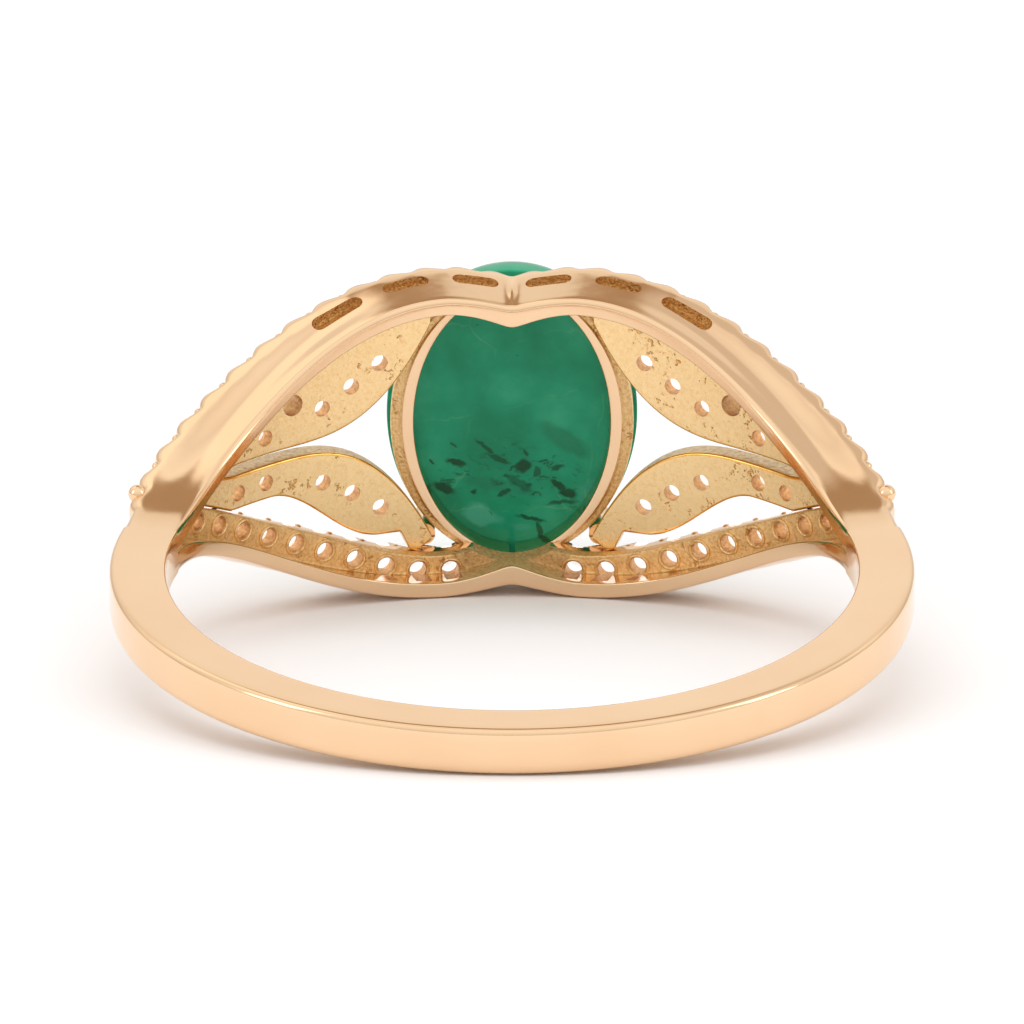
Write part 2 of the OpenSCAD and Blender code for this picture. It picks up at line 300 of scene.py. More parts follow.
def cut(part, cutter, materials, cut_material):
    """part with cutter taken away. The new faces get cut_material."""
    solid = make("solid", part, materials)
    tool = make("tool", cutter, [cut_material])
    modifier = solid.modifiers.new("cut", "BOOLEAN")
    modifier.operation = "DIFFERENCE"
    modifier.solver = "EXACT"
    modifier.material_mode = "TRANSFER"
    modifier.object = tool
    bpy.context.view_layer.update()
    evaluated = solid.evaluated_get(bpy.context.evaluated_depsgraph_get())
    names = [m.name if m else "" for m in evaluated.data.materials]
    order = [materials.index(bpy.data.materials[n]) if n else 0 for n in names]
    verts, faces, mats = mesh_data(solid)
    bpy.data.objects.remove(solid)
    bpy.data.objects.remove(tool)
    return verts, faces, [order[m] for m in mats]


def finish_gold(obj):
    """Sharp edges by angle, and flat faces that stay flat beside their rounded edges."""
    obj.data.set_sharp_from_angle(angle=math.radians(38))
    modifier = obj.modifiers.new("normals", "WEIGHTED_NORMAL")
    modifier.keep_sharp = True
    modifier.weight = 60


def outward(points, turn, z):
    """Turns points whose own Z points away from the bore, as (x, y, z) in mm."""
    a = math.radians(turn)
    p = np.array(points, float)
    x, y, up = p[:, 0], p[:, 1], p[:, 2]
    across = x * math.cos(a) + up * math.sin(a)
    away = -x * math.sin(a) + up * math.cos(a)
    return np.stack([across, away, z - y], 1)


def revolve(profile, sides):
    """A solid of revolution about its own Z, from (radius, height) points off the axis."""
    rings = [
        [(r * math.cos(t), r * math.sin(t), h) for t in np.arange(sides) * 2 * math.pi / sides]
        for r, h in profile
    ]
    return skin(rings)


def moved(part, change):
    verts, faces, mats = part
    return change(np.array(verts)), faces, mats


def sphere(centre, radius, rows=8, sides=14):
    angles = [math.pi * (k + 0.5) / rows for k in range(rows)]
    profile = [(radius * math.sin(a), -radius * math.cos(a)) for a in angles]
    return moved(revolve(profile, sides), lambda v: v + centre)


# ---- Materials ----

def new_material(name):
    material = bpy.data.materials.new(name)
    material.use_nodes = True
    tree = material.node_tree
    shader = tree.nodes["Principled BSDF"]
    return material, tree, shader


def node(tree, kind, inputs=None, **settings):
    made = tree.nodes.new(kind)
    for key, value in settings.items():
        setattr(made, key, value)
    for key, value in (inputs or {}).items():
        if isinstance(value, bpy.types.NodeSocket):
            tree.links.new(value, made.inputs[key])
        else:
            made.inputs[key].default_value = value
    return made


def noise_node(tree, coords, size_mm, detail=3, rough=0.55):
    return node(
        tree, "ShaderNodeTexNoise",
        {"Vector": coords, "Scale": 1 / (size_mm * MM), "Detail": detail, "Roughness": rough},
    ).outputs["Fac"]


def math_node(tree, operation, a, b):
    return node(tree, "ShaderNodeMath", {0: a, 1: b}, operation=operation).outputs["Value"]


def ramp(tree, value, stops):
    """A colour by value. stops are (position, (red, green, blue))."""
    made = node(tree, "ShaderNodeValToRGB", {"Fac": value})
    elements = made.color_ramp.elements
    while len(elements) < len(stops):
        elements.new(0.5)
    for element, (position, colour) in zip(elements, stops):
        element.position = position
        element.color = (*colour, 1)
    return made.outputs["Color"]


def object_coords(tree):
    return node(tree, "ShaderNodeTexCoord").outputs["Object"]


def bump(tree, height, depth_mm, normal=None):
    inputs = {"Height": height, "Distance": depth_mm * MM, "Strength": 1.0}
    if normal is not None:
        inputs["Normal"] = normal
    return node(tree, "ShaderNodeBump", inputs).outputs["Normal"]


def polished_gold():
    material, tree, shader = new_material("polished_gold")
    coords = object_coords(tree)
    tint = ramp(tree, noise_node(tree, coords, 3.0, 2), [
        (0.3, (0.90, 0.62, 0.38)), (0.7, (0.93, 0.66, 0.42)),
    ])
    tree.links.new(tint, shader.inputs["Base Color"])
    haze = ramp(tree, noise_node(tree, coords, 0.6, 4), [(0.3, (0.07,) * 3), (0.75, (0.13,) * 3)])
    tree.links.new(haze, shader.inputs["Roughness"])
    shader.inputs["Metallic"].default_value = 1
    polish = bump(tree, noise_node(tree, coords, 0.9, 2), 0.006)
    fine = bump(tree, noise_node(tree, coords, 0.03, 3), 0.0004, polish)
    tree.links.new(fine, shader.inputs["Normal"])
    return material


def cast_gold(name, light, dark, grain_mm, grain_depth, pit_amount, rough, metal=1.0):
    """As-cast gold: sandy grain all over, and ragged pits that gather in patches."""
    material, tree, shader = new_material(name)
    coords = object_coords(tree)
    grain = noise_node(tree, coords, grain_mm, 4, 0.65)
    torn = shaken(tree, coords, 0.3, 0.08)
    pits = ramp(tree, noise_node(tree, torn, 0.16, 2, 0.7), [(0.57, (0,) * 3), (0.66, (0.85,) * 3)])
    patches = noise_node(tree, coords, 0.8, 1)
    start = 0.60 - pit_amount * 0.1
    stop = 0.66 - pit_amount * 0.1
    where = ramp(tree, patches, [(start, (0,) * 3), (stop, (1,) * 3)])
    pit_mask = math_node(tree, "MULTIPLY", pits, where)
    tint = ramp(tree, grain, [(0.34, dark), (0.58, light)])
    colour = blend_colour(tree, pit_mask, tint, (dark[0] * 0.82, dark[1] * 0.64, dark[2] * 0.42, 1))
    tree.links.new(colour, shader.inputs["Base Color"])
    shader.inputs["Metallic"].default_value = metal
    gloss = ramp(tree, grain, [(0.3, (rough[1],) * 3), (0.7, (rough[0],) * 3)])
    tree.links.new(gloss, shader.inputs["Roughness"])
    sand = bump(tree, grain, grain_depth)
    holes = math_node(tree, "SUBTRACT", 1.0, pit_mask)
    tree.links.new(bump(tree, holes, 0.018, sand), shader.inputs["Normal"])
    return material


def flakes(tree, coords, places):
    """1 inside each flat flake and 0 outside. places are (x, z, length, width, angle, strength)."""
    total = None
    for x, z, length, width, angle, strength in places:
        turned = node(tree, "ShaderNodeMapping", {
            "Vector": coords, "Location": (x * MM, 0, z * MM), "Rotation": (0, math.radians(-angle), 0),
            "Scale": (length / 2 * MM, 100, width / 2 * MM),
        }, vector_type="TEXTURE").outputs["Vector"]
        far = node(tree, "ShaderNodeVectorMath", {0: turned}, operation="LENGTH").outputs["Value"]
        inside = node(tree, "ShaderNodeMapRange", {
            "Value": far, "From Min": 1.15, "From Max": 0.7, "To Max": strength,
        }).outputs["Result"]
        total = inside if total is None else math_node(tree, "MAXIMUM", total, inside)
    return total


def shaken(tree, coords, size_mm, amount_mm, detail=3):
    """Coordinates pushed about by noise, so that what is drawn with them gets ragged edges."""
    noise = node(
        tree, "ShaderNodeTexNoise", {"Vector": coords, "Scale": 1 / (size_mm * MM), "Detail": detail}
    ).outputs["Color"]
    centred = node(
        tree, "ShaderNodeVectorMath", {0: noise, 1: (0.5, 0.5, 0.5)}, operation="SUBTRACT"
    ).outputs["Vector"]
    return node(
        tree, "ShaderNodeVectorMath", {0: centred, 1: (2 * amount_mm * MM,) * 3, 2: coords},
        operation="MULTIPLY_ADD",
    ).outputs["Vector"]


def blend_colour(tree, factor, a, b):
    inputs = {"Factor": factor, "A": a, "B": b}
    return node(tree, "ShaderNodeMix", inputs, data_type="RGBA").outputs["Result"]


# Dark flat crystals low in the stone, each at (x, z, length, width, angle, strength)
CRYSTALS = [
    (-1.41, -1.35, 0.50, 0.22, -15, 0.95), (-1.72, -2.05, 0.62, 0.26, -28, 0.95),
    (-0.96, -2.15, 0.16, 0.14, 0, 0.9), (-0.68, -0.93, 0.62, 0.13, -42, 0.8),
    (-0.32, -1.27, 0.62, 0.16, -25, 0.75), (0.28, -1.45, 0.46, 0.34, 30, 0.95),
    (0.18, -1.92, 0.80, 0.26, -35, 0.6), (-0.22, -2.2, 0.42, 0.16, 35, 0.8),
    (1.14, -1.5, 0.40, 0.12, 20, 0.8), (1.18, -1.98, 0.55, 0.20, -30, 0.95),
    (1.40, -2.2, 0.50, 0.22, -10, 0.95), (1.27, -2.45, 0.85, 0.11, 3, 0.75),
    (0.48, -2.9, 0.75, 0.13, -12, 0.85), (0.70, -3.25, 0.16, 0.6, 10, 0.8),
    (0.36, -1.08, 0.12, 0.26, 15, 0.8), (0.80, -1.3, 0.30, 0.07, 5, 0.8),
    (-2.02, -1.35, 0.20, 0.08, -35, 0.9), (-1.46, -0.88, 0.18, 0.09, -40, 0.8),
    (0.62, -1.62, 0.30, 0.14, 60, 0.7), (-0.52, -2.75, 0.16, 0.05, -45, 0.6),
]
# Broad faint veils, lighter or darker than the stone
VEILS = [(1.35, -0.75, 1.6, 0.52, -36, 0.5), (-0.3, -2.0, 2.2, 0.35, -12, 0.3)]
CLOUDS = [
    (-0.75, -2.85, 1.1, 0.5, -8, 0.8), (0.2, -3.05, 0.5, 0.3, 0, 0.5), (1.9, -2.3, 0.5, 0.9, 0, 0.4),
]
# Where fine dark bits gather
BIT_REGIONS = [(0.55, -1.65, 2.9, 1.6, -22, 1.0), (-1.5, -1.75, 1.5, 1.2, 0, 0.8)]


def emerald():
    material, tree, shader = new_material("emerald")
    coords = object_coords(tree)
    ragged = shaken(tree, coords, 0.22, 0.10)
    wavy = shaken(tree, coords, 0.8, 0.35, 4)
    cloud = noise_node(tree, coords, 1.8, 5)
    body = ramp(tree, cloud, [
        (0.34, (0.009, 0.21, 0.105)), (0.5, (0.013, 0.272, 0.142)), (0.66, (0.030, 0.335, 0.185)),
    ])
    body = blend_colour(tree, flakes(tree, wavy, CLOUDS), body, (0.06, 0.36, 0.24, 1))
    body = blend_colour(tree, flakes(tree, ragged, VEILS), body, (0.012, 0.12, 0.06, 1))
    cracks = node(tree, "ShaderNodeTexVoronoi", {
        "Vector": wavy, "Scale": 1 / (2.6 * MM),
    }, feature="DISTANCE_TO_EDGE").outputs["Distance"]
    line = ramp(tree, cracks, [(0.0, (1,) * 3), (0.012, (0,) * 3)])
    faint = ramp(tree, noise_node(tree, coords, 0.9, 2), [(0.45, (0,) * 3), (0.65, (0.3,) * 3)])
    shown = math_node(tree, "MULTIPLY", line, faint)
    body = blend_colour(tree, shown, body, (0.16, 0.42, 0.22, 1))
    specks = node(
        tree, "ShaderNodeTexVoronoi", {"Vector": coords, "Scale": 1 / (0.55 * MM)}
    ).outputs["Distance"]
    speck = ramp(tree, specks, [(0.03, (0.7,) * 3), (0.06, (0,) * 3)])
    body = blend_colour(tree, speck, body, (0.006, 0.07, 0.03, 1))
    body = blend_colour(tree, flakes(tree, ragged, CRYSTALS), body, (0.008, 0.055, 0.022, 1))
    stretched = node(tree, "ShaderNodeMapping", {
        "Vector": ragged, "Rotation": (0, math.radians(28), 0), "Scale": (1, 1, 2.4),
    }).outputs["Vector"]
    bits = ramp(tree, noise_node(tree, stretched, 0.34, 3, 0.6), [(0.56, (0,) * 3), (0.63, (0.85,) * 3)])
    bits = math_node(tree, "MULTIPLY", bits, flakes(tree, wavy, BIT_REGIONS))
    body = blend_colour(tree, bits, body, (0.010, 0.075, 0.032, 1))
    tree.links.new(body, shader.inputs["Base Color"])
    shader.inputs["Roughness"].default_value = 0.12
    shader.inputs["IOR"].default_value = 1.58
    shader.inputs["Specular IOR Level"].default_value = 0.15
    # The stone emits a little of its own colour: painted glow standing in for light shining through it.
    shader.inputs["Emission Strength"].default_value = 0.12
    tree.links.new(body, shader.inputs["Emission Color"])
    return material


def clear_stone():
    material, tree, shader = new_material("small_stones")
    shader.inputs["Base Color"].default_value = (0.97, 0.975, 0.98, 1)
    shader.inputs["Roughness"].default_value = 0.0
    shader.inputs["IOR"].default_value = 1.5
    shader.inputs["Transmission Weight"].default_value = 0.85
    # The small stones emit a pale lavender light: painted glow, as if they were lit from the front.
    shader.inputs["Emission Color"].default_value = (0.90, 0.88, 0.92, 1)
    shader.inputs["Emission Strength"].default_value = 0.3
    return material


POLISHED = polished_gold()
LEAF_GOLD = cast_gold(
    "leaf_gold", (0.97, 0.71, 0.38), (0.92, 0.64, 0.31), 0.10, 0.004, 0.6, (0.2, 0.3))
ROUGH_GOLD = cast_gold(
    "rough_gold", (0.97, 0.70, 0.36), (0.78, 0.50, 0.21), 0.07, 0.03, 0.9, (0.28, 0.42))
# The slots' gold has a real rough grain, but its colour is much darker than the rail's: painted shade in
# the slots.
SLOT_SHADED_GOLD = cast_gold(
    "slot_gold", (0.78, 0.46, 0.17), (0.46, 0.22, 0.06), 0.06, 0.04, 1.2, (0.3, 0.45))
EDGE_GOLD = cast_gold(
    "edge_gold", (0.93, 0.56, 0.17), (0.80, 0.42, 0.09), 0.5, 0.002, -3, (0.12, 0.2))
# A darker, greyer copy of the leaf gold for the leaves' side faces: painted shade where they face the
# gaps beside them.
SIDE_SHADED_GOLD = cast_gold(
    "side_gold", (0.80, 0.62, 0.38), (0.58, 0.42, 0.24), 0.12, 0.02, 0.3, (0.3, 0.42))
# The holes' gold is coloured darker than the plate's: painted shade in the stones' cups, light holes and
# window.
HOLE_SHADED_GOLD = cast_gold(
    "hole_gold", (0.72, 0.42, 0.19), (0.52, 0.27, 0.10), 0.08, 0.02, 0.0, (0.3, 0.45))
SAND_GOLD = cast_gold(
    "sand_gold", (0.80, 0.55, 0.25), (0.55, 0.32, 0.11), 0.09, 0.05, 1.2, (0.6, 0.8), 0.3)
GOLDS = [
    POLISHED, LEAF_GOLD, ROUGH_GOLD, SLOT_SHADED_GOLD, EDGE_GOLD, SIDE_SHADED_GOLD, HOLE_SHADED_GOLD, SAND_GOLD,
]
# Places in GOLDS, as a piece's faces refer to them
POLISHED_FACE, LEAF_FACE, ROUGH_FACE = (GOLDS.index(g) for g in (POLISHED, LEAF_GOLD, ROUGH_GOLD))
EDGE_FACE, SIDE_SHADED_FACE, SAND_FACE = (GOLDS.index(g) for g in (EDGE_GOLD, SIDE_SHADED_GOLD, SAND_GOLD))
EMERALD = emerald()
CLEAR = clear_stone()


def attach(obj, slot, *nodes):
    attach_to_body(obj, "root")
    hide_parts(*nodes)


def in_quarters(name, part, materials, slot, finish=True, smooth=True):
    """Four mirrored copies of a piece drawn in the upper right quarter."""
    for vertical, side in QUARTERS:
        scale = (-1 if side == "left" else 1, 1, -1 if vertical == "lower" else 1)
        base = part[vertical] if isinstance(part, dict) else part
        obj = make(f"{vertical}_{side}_{name}_look", base, materials, scale, smooth)
        if finish:
            finish_gold(obj)
        attach(obj, slot, f"{vertical}_{side}_{name}")


# ---- Band: the shank and both shoulders, one cast surface ----

def band():
    """Its outside is round about a centre moved toward the head, which makes it thicker there."""
    split_y = SPLIT_R * math.cos(math.radians(SPLIT_TURN))
    shift = (SPLIT_R ** 2 - BACK_R ** 2) / (2 * (BACK_R + split_y))
    round_r = BACK_R + shift

    def outer(turn):
        c = math.cos(math.radians(turn))
        return shift * c + math.sqrt(round_r ** 2 - (shift * math.sin(math.radians(turn))) ** 2)

    def section(turn):
        w, ro = BAND_HALF, outer(turn)
        outline = rounded([
            (BORE_R, -w, 0.05, 4), (BORE_R, w, 0.05, 4),
            (ro, w, 0.17, 6), (ro, -w, 0.17, 4),
        ])
        return [place(turn, r, z) for r, z in outline]

    turns = np.linspace(SPLIT_TURN, 360 - SPLIT_TURN, 300)
    part = skin([section(t) for t in turns])
    obj = make("band_look", part, GOLDS)
    finish_gold(obj)
    attach(obj, "polished_gold", "shank", "left_shoulder", "right_shoulder")


# ---- Rails ----

def soft_turn(turn, rounding):
    """The turn to either side, with the cusp in the middle of the head rounded."""
    return math.sqrt(turn ** 2 + rounding ** 2) - rounding * 0.3


# Points of a rail's cross-section, counted as rail_ring makes them
RING_POINTS = 59
SIDE_WALL_POINTS = range(10, 28)
RIM_POINTS = range(10, 37)
PLATE_POINTS = range(39, 54)
SEAT_SIDE_POINTS = range(39, 59)
# Turn within which the seat hides the rail's inside
SEAT_TURN = 9


def rail_kinds(turns):
    """Rough plate all along, and a sandy plate and inner wall beside the seat."""
    def kind(turn, i):
        if abs(turn) < SEAT_TURN and i in SEAT_SIDE_POINTS:
            return SAND_FACE
        return ROUGH_FACE if i in PLATE_POINTS else POLISHED_FACE

    kinds = [kind(turn, i) for turn in turns[:-1] for i in range(RING_POINTS)]
    return kinds + [POLISHED_FACE, POLISHED_FACE]


def rail_ring(side_turn):
    """One cross-section, from the bore edge along the side wall, the stone row and the hollow inside."""
    turn = soft_turn(side_turn, CUSP_ROUND)
    edge_turn = soft_turn(side_turn, CUSP_EDGE_ROUND)
    ro, rp = rail_out_r(turn), rail_out_r(turn) - PLATE_T
    zo, zp = rail_z(turn), plate_z(turn)
    zi = max(JOINT_GAP, rail_z(edge_turn) - rail_wall(edge_turn))
    inner = max(zp + 0.03, zi + lean_z(turn, rp))
    outline = rounded([
        (BORE_R, zi, 0.05, 2),
        (BORE_R, rail_z(edge_turn), 0.13, 10),
        (ro, zo + lean_z(turn, ro), 0.3, 3),
        (ro, zp, 0.06, 1),
        (rp, zp, 0.05, 3),
        (rp, inner, 0.08, 4),
    ])
    bulge = scallop(turn)
    channel = 0.11 * ease(turn, 16, 34) * (1 - ease(turn, 50, 70))
    ridge = 0.07 * math.exp(-(side_turn / 0.7) ** 2)
    points = []
    for i, (r, z) in enumerate(outline):
        across = clamp01((r - BORE_R - 0.12) / (ro - BORE_R - 0.42))
        if i in SIDE_WALL_POINTS:
            z += ridge * math.sin(math.pi * across) - channel * math.sin(math.pi * across) ** 2
        if i in RIM_POINTS:
            r += bulge * clamp01((r - ro + 0.45) / 0.45)
        points.append(place(side_turn, r, z))
    return points


def gem_seat(r, turn, z):
    """The cutter for one stone: its cup and the light hole behind it."""
    profile = [
        (LIGHT_HOLE_D / 2, r - 1.3), (LIGHT_HOLE_D / 2, r - 0.26),
        (GEM_D / 2 + 0.01, r - 0.08), (GEM_D / 2 + 0.01, r + 0.5),
    ]
    return moved(revolve(profile, 28), lambda v: outward(v, turn, z))


def slot_cutter(span):
    """A round-ended slot in the side wall, with a softened floor."""
    mid = sum(span) / 2
    slot_r = BORE_R + 1
    length = math.radians(span[1] - span[0]) * slot_r
    tilt = math.atan((rail_z(span[1]) - rail_z(span[0])) / length)
    straight = length / 2 - SLOT_W / 2
    outline = [
        (side * straight + SLOT_W / 2 * math.cos(a), SLOT_W / 2 * math.sin(a))
        for side, first in ((1, -90), (-1, 90))
        for a in np.radians(np.linspace(first, first + 180, 12))
    ]
    centre = np.array(place(mid, slot_r, rail_z(mid) + lean_z(mid, slot_r) - SLOT_DEPTH))
    rings = []
    for up, grow in ((0, 0.86), (0.05, 0.97), (0.12, 1.0), (1.0, 1.0)):
        ring = []
        for x, y in outline:
            along = x * (1 - (1 - grow) * 0.3)
            around = along * math.cos(tilt) - up * math.sin(tilt)
            height = along * math.sin(tilt) + up * math.cos(tilt)
            ring.append((around, -height, y * grow))
        rings.append(centre + outward(ring, mid, 0))
    return skin(rings)


def rail_beads():
    """Grains raised over the stones' edges on both sides of the row, and a ball at its end."""
    parts = []
    for side in (-1, 1):
        for first in GEM_TURNS:
            turn = first - GEM_PITCH / 2
            r = rail_out_r(turn)
            notch = first + 0.2
            lip = rail_z(notch) + lean_z(notch, r)
            parts.append(sphere(place(side * notch, r - 0.02, lip - 0.24), 0.13))
            parts.append(sphere(place(side * turn, r + 0.02, plate_z(turn) + 0.1), 0.115))
        end = END_BALL_TURN
        parts.append(sphere(place(side * end, rail_out_r(end) + 0.06, rail_z(end) - 0.04), 0.23))
    return parts


def torus(radius, tube, sides=28, around=8):
    rings = [
        [(
            (radius + tube * math.cos(b)) * math.cos(a),
            (radius + tube * math.cos(b)) * math.sin(a),
            tube * math.sin(b),
        ) for b in np.arange(around) * 2 * math.pi / around]
        for a in np.arange(sides) * 2 * math.pi / sides
    ]
    return skin(rings, closed=True)


def hole_collars():
    """Raised rims round the light holes, on the finger side of the plate."""
    parts = []
    for side in (-1, 1):
        for turn in GEM_TURNS[:10]:
            back = rail_out_r(turn) - PLATE_T
            verts, faces, _ = torus(LIGHT_HOLE_D / 2 + 0.055, 0.05)
            at = outward(verts + [0, 0, back], side * turn, gem_row_z(turn))
            parts.append((at, faces, [ROUGH_FACE] * len(faces)))
    return parts


def mirrored(part, axis):
    """The part and its mirror image across x (axis 0) or z (axis 2)."""
    verts, faces, mats = part
    other = np.array(verts, float)
    other[:, axis] *= -1
    return join([part, (other, [tuple(reversed(f)) for f in faces], mats)])


def oval_prism(semi, grow, y0, y1, sides=96):
    rings = []
    for y in (y0, y1):
        ring = [oval_point(semi, a, grow) for a in np.arange(sides) * 2 * math.pi / sides]
        rings.append([(p[0], y, p[1]) for p in ring])
    return skin(rings)


def rails():
    turns = np.concatenate([
        np.linspace(-SPLIT_TURN, -4, 300, endpoint=False), np.linspace(-4, 4, 80, endpoint=False),
        np.linspace(4, SPLIT_TURN, 301),
    ])
    verts, faces, _ = skin([rail_ring(t) for t in turns])
    body = (verts, faces, rail_kinds(turns))
    seats = join([gem_seat(rail_out_r(t), t, gem_row_z(t)) for t in GEM_TURNS])
    slots = join([slot_cutter(s) for s in SLOT_TURNS])
    opening = oval_prism(SEAT_OPENING, 0, BORE_R + WALL_REACH, SEAT_Y + 1)
    seat_space = oval_prism(SEAT_OUTER, JOINT_GAP, SEAT_Y, SEAT_Y + 4)
    body = cut(body, opening, GOLDS, SAND_GOLD)
    body = cut(body, seat_space, GOLDS, SAND_GOLD)
    # The stones' cups and light holes get the darker hole gold: painted shade in these holes.
    body = cut(body, mirrored(seats, 0), GOLDS, HOLE_SHADED_GOLD)
    # The slots' walls and floors get the darker slot gold: painted shade in the slots.
    body = cut(body, mirrored(slots, 0), GOLDS, SLOT_SHADED_GOLD)
    part = join([body] + rail_beads() + hole_collars())
    for vertical, flip in (("upper", 1), ("lower", -1)):
        obj = make(f"{vertical}_rail_look", part, GOLDS, (1, 1, flip))
        finish_gold(obj)
        attach(obj, "polished_gold", f"{vertical}_rail")


# ---- Leaves ----

# Points of a leaf's cross-section: its finger side, and the rounded edges beside it
LEAF_BACK_POINTS = range(5, 18)
LEAF_EDGE_POINTS = [*range(5), *range(18, 24)]


def leaf(webbed):
    stations = [
        t for t in np.arange(12.2, SPLIT_TURN, 0.3)
        if leaf_rail_z(t, webbed) > leaf_mid_z(t) + 0.05
    ]
    rings = []
    for turn in stations:
        low, high = leaf_mid_z(turn), leaf_rail_z(turn, webbed)
        outline = rounded([
            (LEAF_IN_R, low, 0.07, 12), (LEAF_IN_R, high, 0.07, 3),
            (LEAF_OUT_R, high, 0.09, 8), (LEAF_OUT_R, low, 0.09, 3),
        ])
        rings.append([place(turn, r, z) for r, z in outline])
    # Faces other than the finger side and its edges get the darker side gold: painted shade.
    kinds = [
        LEAF_FACE if i in LEAF_BACK_POINTS else EDGE_FACE if i in LEAF_EDGE_POINTS else SIDE_SHADED_FACE
        for i in range(len(rings[0]))
    ]
    body = skin(rings, kinds)
    tools = [gem_seat(LEAF_OUT_R, t, z) for t, z in LEAF_GEMS]
    if webbed:
        turn, z, d = WINDOW
        window = revolve([(d / 2, 8.5), (d / 2, 11.5)], 32)
        tools.append(moved(window, lambda v: outward(v, turn, z)))
    # The leaf's stone holes and window get the darker hole gold: painted shade in them.
    body = cut(body, join(tools), GOLDS, HOLE_SHADED_GOLD)
    beads = []
    for turn, z in LEAF_GEMS:
        for k in range(4):
            a = math.radians(45 + 90 * k)
            at = outward([[0.46 * math.cos(a), 0.46 * math.sin(a), LEAF_OUT_R + 0.01]], turn, z)[0]
            beads.append(sphere(at, 0.1))
    return join([body] + beads)


def leaves():
    in_quarters("leaf", {"upper": leaf(True), "lower": leaf(False)}, GOLDS, "satin_gold")


# ---- Seat ----

def oval_point(semi, a, grow=0.0):
    """A point of an oval, moved outward by grow along the oval's normal."""
    n = np.array([math.cos(a) / semi[0], math.sin(a) / semi[1]])
    n /= np.linalg.norm(n)
    return np.array([semi[0] * math.cos(a), semi[1] * math.sin(a)]) + n * grow


# Points of the seat's cross-section that face away from the stone's opening
SEAT_ROUGH_POINTS = range(14, 39)


def seat():
    slit = math.asin(SEAT_SLIT / 2 / SEAT_OPENING[0])
    for side, sign in (("left", -1), ("right", 1)):
        rings = []
        for a in np.linspace(-math.pi / 2 + slit, math.pi / 2 - slit, 120):
            inner = oval_point(SEAT_OPENING, a)
            outer = oval_point(SEAT_OUTER, a)
            width = np.linalg.norm(outer - inner)
            outline = rounded([
                (0, SEAT_Y + 0.03, 0.05, 5), (width * 0.5, SEAT_Y, 0.04, 2),
                (width * 0.58, SEAT_Y + 0.05, 0.04, 5),
                (width, SEAT_Y + 0.07, 0.06, 3), (width, STONE_BACK_Y, 0.05, 3),
                (0, STONE_BACK_Y, 0.05, 2),
            ])
            ring = []
            for w, y in outline:
                p = inner + (outer - inner) * w / width
                ring.append((sign * p[0], y, p[1]))
            rings.append(ring)
        kinds = [
            ROUGH_FACE if i in SEAT_ROUGH_POINTS else POLISHED_FACE for i in range(len(rings[0]))
        ]
        obj = make(f"seat_{side}_look", skin(rings, kinds), GOLDS)
        finish_gold(obj)
        attach(obj, "satin_gold", f"seat_{side}_half")


# ---- Stones ----

def centre_stone():
    """A flat back with a rounded edge, an upright girdle and a dome."""
    sides = 128
    angles = np.arange(sides) * 2 * math.pi / sides
    bevel = 0.05
    bevel_rows = 5
    dome_rows = 36

    def ring(semi, grow, y):
        points = [oval_point(semi, a, grow) for a in angles]
        return [(x, y, z) for x, z in points]

    rings = [ring(STONE_OVAL * scale, 0, STONE_BACK_Y) for scale in (0.4, 0.75)]
    rings.append(ring(STONE_OVAL, -bevel, STONE_BACK_Y))
    for k in range(1, bevel_rows + 1):
        t = k / bevel_rows * math.pi / 2
        inset, rise = bevel * (1 - math.sin(t)), bevel * (1 - math.cos(t))
        rings.append(ring(STONE_OVAL, -inset, STONE_BACK_Y + rise))
    for k in range(dome_rows):
        t = math.pi / 2 * k / dome_rows
        rise = (DOME_TOP_Y - GIRDLE_Y) * math.sin(t)
        rings.append(ring(STONE_OVAL * math.cos(t), 0, GIRDLE_Y + rise))
    verts, faces, mats = skin(rings)
    verts[verts[:, 2] < 0, 2] *= LOW_END_STRETCH
    obj = make("centre_stone_look", (verts, faces, mats), [EMERALD])
    obj.data.set_sharp_from_angle(angle=math.radians(50))
    attach(obj, "emerald", "centre_stone")


def brilliant(radius):
    """A round brilliant whose girdle is at height 0."""
    def circle(count, r, h, offset=0.0):
        return [(r * math.cos(a), r * math.sin(a), h)
                for a in (2 * math.pi * (i + offset) / count for i in range(count))]
    table = circle(8, radius * 0.56, radius * 0.30)
    stars = circle(8, radius * 0.80, radius * 0.18, 0.5)
    upper = circle(16, radius, radius * 0.03)
    lower = circle(16, radius, -radius * 0.03)
    mains = circle(8, radius * 0.34, -radius * 0.62, 0.5)
    verts = table + stars + upper + lower + mains + [(0, 0, -radius * 0.86)]
    # The first vertex of each circle, and the point at the bottom
    t, s, u, l, m, c = 0, 8, 16, 32, 48, 56
    faces = [tuple(range(8))]
    for i in range(8):
        j = (i + 1) % 8
        a, b, d = 2 * i, 2 * i + 1, (2 * i + 2) % 16
        faces += [(t + i, t + j, s + i), (t + i, s + i, u + a, s + (i - 1) % 8)]
        faces += [(s + i, u + a, u + b), (s + i, u + b, u + d)]
        faces += [(c, m + i, l + a, m + (i - 1) % 8), (m + i, l + a, l + b), (m + i, l + b, l + d)]
    for i in range(16):
        j = (i + 1) % 16
        faces.append((u + i, u + j, l + j, l + i))
    return np.array(verts), faces, [0] * len(faces)


def small_stones():
    gem = brilliant(GEM_D / 2)

    def row(places):
        verts, faces, mats = gem
        return join([(outward(verts + [0, 0, r - 0.06], turn, z), faces, mats) for r, turn, z in places])

    in_rail = row([(rail_out_r(t), t, gem_row_z(t)) for t in GEM_TURNS])
    in_leaf = row([(LEAF_OUT_R, t, z) for t, z in LEAF_GEMS])
    in_quarters("rail_stones", in_rail, [CLEAR], "small_stones", finish=False, smooth=False)
    in_quarters("leaf_stones", in_leaf, [CLEAR], "small_stones", finish=False, smooth=False)


# ---- Claws ----

